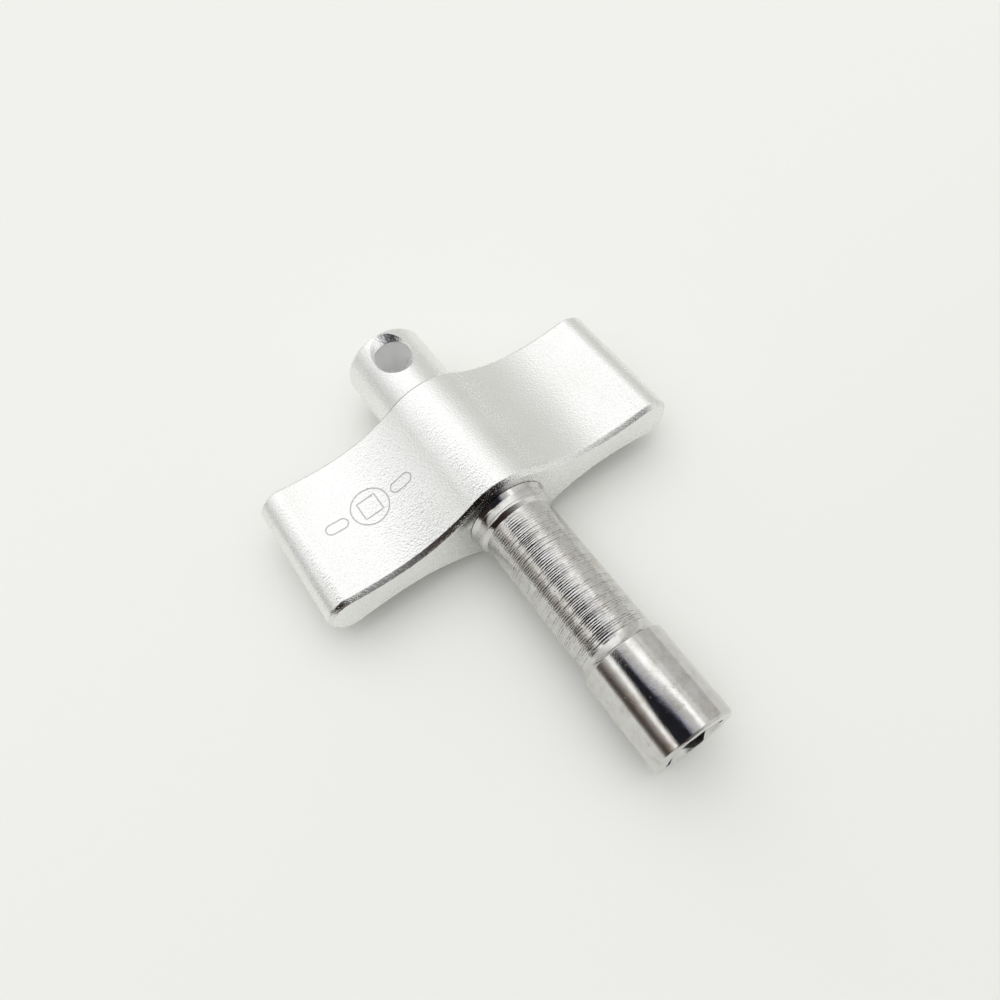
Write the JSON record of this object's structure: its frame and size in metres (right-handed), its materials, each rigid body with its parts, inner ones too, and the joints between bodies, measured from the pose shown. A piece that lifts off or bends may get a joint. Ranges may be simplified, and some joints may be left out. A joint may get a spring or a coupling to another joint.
{
  "type": "radiator bleed key",
  "caption": "Wing-handled hand key with a square socket on a turned shaft and a key-ring lug behind the grip.",
  "frame": {"origin": "centre of the socket's mouth, on the shaft's axis", "axes": "+Y runs along the shaft from the mouth to the handle and the key-ring lug, the wings span X, and +Z is square to the flat of the wings"},
  "size_m": [0.05, 0.064, 0.0142],
  "materials": {
    "satin_aluminium": "bead-blasted and clear anodised, fine satin grain",
    "chrome_steel": "bright chrome plate over turned steel",
    "plain_steel": "plain zinc-plated screw steel"
  },
  "bodies": {
    "root": {"wing_handle": "satin_aluminium", "socket_shaft": "chrome_steel", "keyring_lug": "satin_aluminium", "tie_stud": "plain_steel"}
  },
  "joints": []
}
